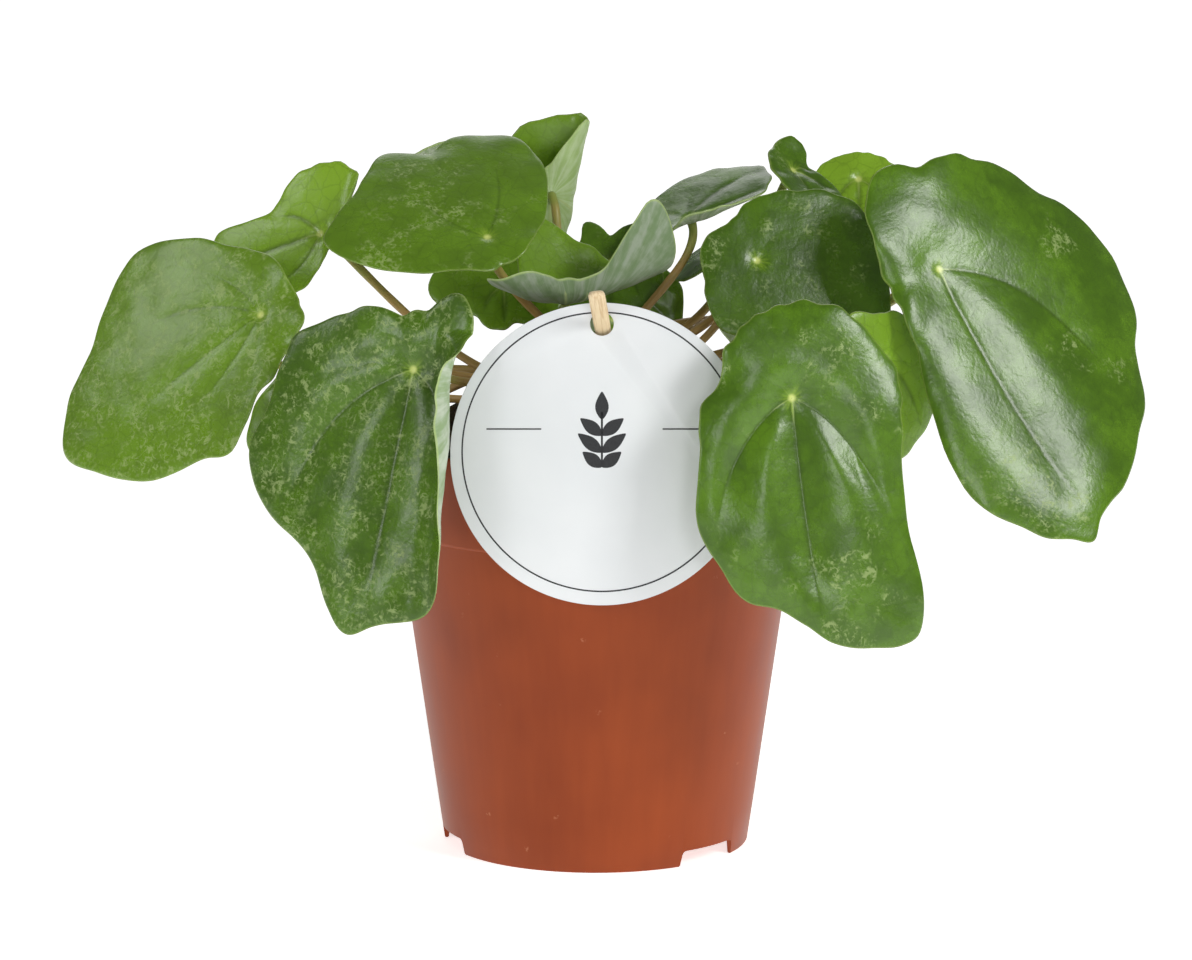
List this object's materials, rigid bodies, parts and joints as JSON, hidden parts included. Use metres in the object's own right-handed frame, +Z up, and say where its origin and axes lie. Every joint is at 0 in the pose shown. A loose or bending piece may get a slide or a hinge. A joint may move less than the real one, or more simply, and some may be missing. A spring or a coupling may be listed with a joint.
{
  "type": "potted plant",
  "caption": "Potted Chinese money plant: round glossy speckled leaves on long stalks in a tapered plastic nursery pot, with a blank round card tag held up by a wooden stick.",
  "frame": {"origin": "on the ground under the centre of the pot, which is the centre of the base of the bounding box", "axes": "+Z up, +X to the right and -Y to the front, the side the tag hangs on"},
  "size_m": [0.3046, 0.1666, 0.2061],
  "materials": {
    "pot_plastic": "satin",
    "potting_soil": "matte",
    "bark": "matte",
    "card": "satin",
    "stick_wood": "matte",
    "leaf_green": "glossy",
    "leaf_lime": "satin"
  },
  "bodies": {
    "root": {"pot": "pot_plastic", "leaf_left_outer": "leaf_green", "leaf_left_front": "leaf_green", "leaf_left_tucked": "leaf_green", "leaf_left_upper": "leaf_green", "leaf_left_rear": "leaf_green", "leaf_upright": "leaf_green", "leaf_cupped": "leaf_green", "leaf_left_low": "leaf_green", "leaf_mid_low": "leaf_green", "leaf_mid_rear": "leaf_green", "leaf_edge_on": "leaf_green", "leaf_right_tilted": "leaf_green", "leaf_right_dark": "leaf_green", "leaf_right_small": "leaf_green", "leaf_right_lime": "leaf_lime", "leaf_right_large": "leaf_green", "leaf_right_front": "leaf_green", "leaf_right_olive": "leaf_green", "leaf_back_outer": "leaf_green", "leaf_back_left": "leaf_green", "leaf_back_low_left": "leaf_green", "leaf_back_low": "leaf_green", "leaf_back_low_right": "leaf_green", "leaf_back_right": "leaf_green", "leaf_back_high_right": "leaf_green", "leaf_back_outer_right": "leaf_green", "leaf_young_left": "leaf_green", "leaf_young_right": "leaf_green", "trunk": "bark", "tag": "card", "stick": "stick_wood", "soil": "potting_soil"}
  },
  "joints": []
}
